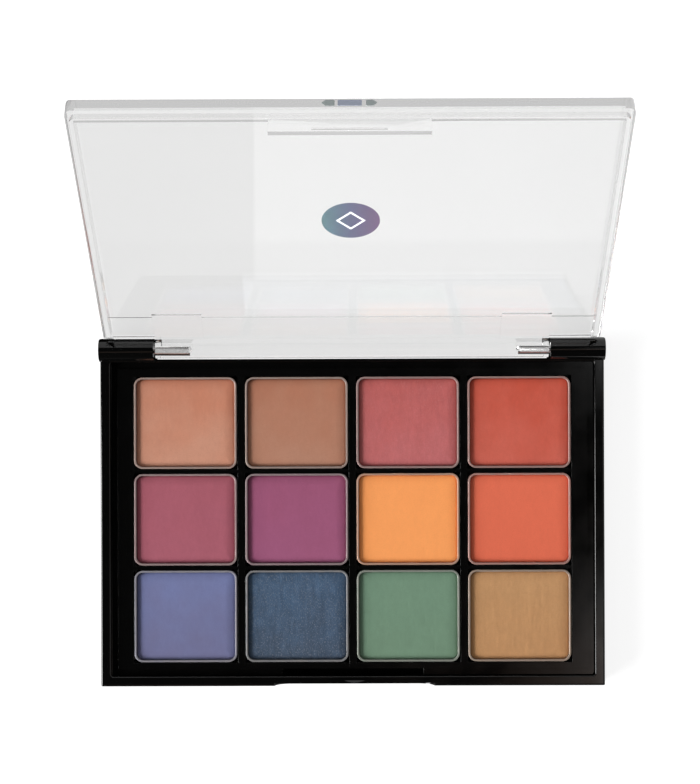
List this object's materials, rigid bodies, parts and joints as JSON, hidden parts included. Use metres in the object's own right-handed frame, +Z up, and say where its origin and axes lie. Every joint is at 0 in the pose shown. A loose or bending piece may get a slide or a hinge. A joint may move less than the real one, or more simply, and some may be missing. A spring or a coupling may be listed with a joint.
{
  "type": "eyeshadow palette",
  "caption": "Shallow rectangular case of pressed powder pans in a moulded tray, with a clear lid that turns on two pins.",
  "frame": {"origin": "centre of the case's footprint, on the surface that the case lies on", "axes": "+Z up, +Y towards the hinge, +X to the right with the finger notch facing the viewer; at rest the lid stands open"},
  "size_m": [0.155, 0.1678, 0.0928],
  "materials": {
    "case_plastic": "gloss black moulding",
    "tray_plastic": "gloss black moulding",
    "pad_tape": "double-sided tape",
    "pan_metal": "bright pressed sheet",
    "powder_peach": "pressed powder",
    "powder_brown": "pressed powder",
    "powder_rose": "pressed powder",
    "powder_brick": "pressed powder",
    "powder_berry": "pressed powder",
    "powder_purple": "pressed powder",
    "powder_orange": "pressed powder",
    "powder_coral": "pressed powder",
    "powder_periwinkle": "pressed powder",
    "powder_navy": "pressed powder",
    "powder_green": "pressed powder",
    "powder_gold": "pressed powder",
    "lid_plastic": "clear gloss moulding",
    "print_ink": "gradient print",
    "pin_steel": "bright drawn wire"
  },
  "bodies": {
    "base": {"base_shell": "case_plastic", "pan_tray": "tray_plastic", "pan_adhesive_pads": "pad_tape", "pan_peach": "pan_metal", "pan_brown": "pan_metal", "pan_rose": "pan_metal", "pan_brick": "pan_metal", "pan_berry": "pan_metal", "pan_purple": "pan_metal", "pan_orange": "pan_metal", "pan_coral": "pan_metal", "pan_periwinkle": "pan_metal", "pan_navy": "pan_metal", "pan_green": "pan_metal", "pan_gold": "pan_metal", "powder_peach": "powder_peach", "powder_brown": "powder_brown", "powder_rose": "powder_rose", "powder_brick": "powder_brick", "powder_berry": "powder_berry", "powder_purple": "powder_purple", "powder_orange": "powder_orange", "powder_coral": "powder_coral", "powder_periwinkle": "powder_periwinkle", "powder_navy": "powder_navy", "powder_green": "powder_green", "powder_gold": "powder_gold", "hinge_pin_left": "pin_steel", "hinge_pin_right": "pin_steel"},
    "lid": {"lid": "lid_plastic", "lid_roundel": "print_ink"}
  },
  "joints": [
    {"name": "lid_hinge", "type": "hinge", "parent": "base", "child": "lid", "pos_m": [0, 0.05, 0.009], "axis": [1, 0, 0], "range_deg": [-12.5, 127.5]}
  ]
}
